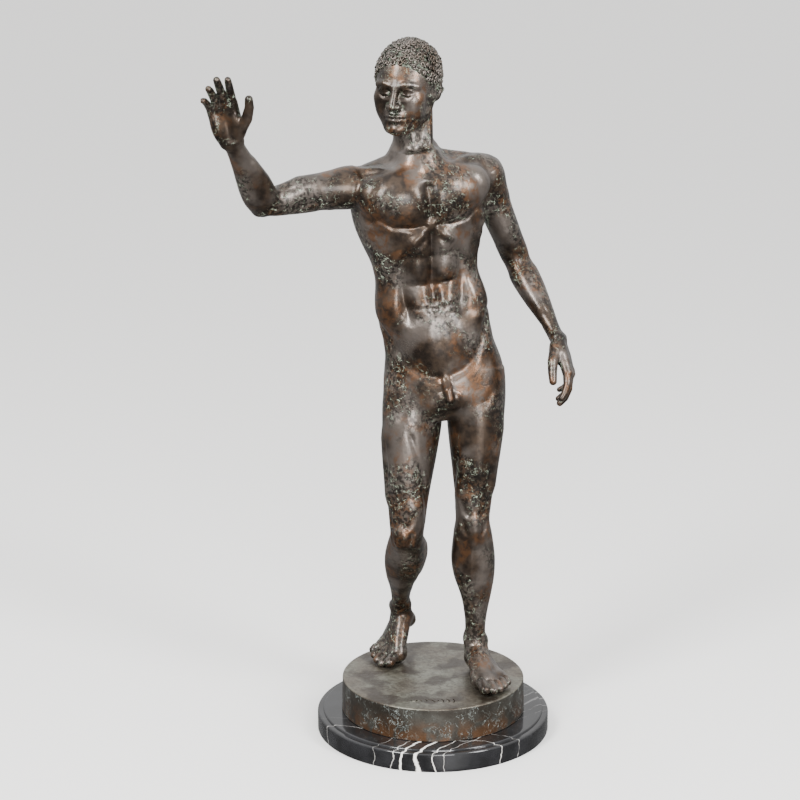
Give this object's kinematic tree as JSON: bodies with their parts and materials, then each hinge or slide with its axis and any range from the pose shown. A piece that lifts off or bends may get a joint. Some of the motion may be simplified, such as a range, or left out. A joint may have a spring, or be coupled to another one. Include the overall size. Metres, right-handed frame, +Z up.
{
  "type": "bronze male nude statue",
  "caption": "Standing nude athlete in patinated bronze with an arm raised to the side, on a round bronze plinth and a round black marble base.",
  "frame": {"origin": "middle of the marble base's flat underside", "axes": "+Z up, through the figure's head; the figure's front faces -Y; +X is the figure's left side"},
  "size_m": [0.4991, 0.3421, 0.998],
  "materials": {
    "figure_bronze": "satin",
    "plinth_bronze": "satin",
    "black_marble": "polished"
  },
  "bodies": {
    "root": {"figure": "figure_bronze", "bronze_plinth": "plinth_bronze", "marble_base": "black_marble"}
  },
  "joints": []
}
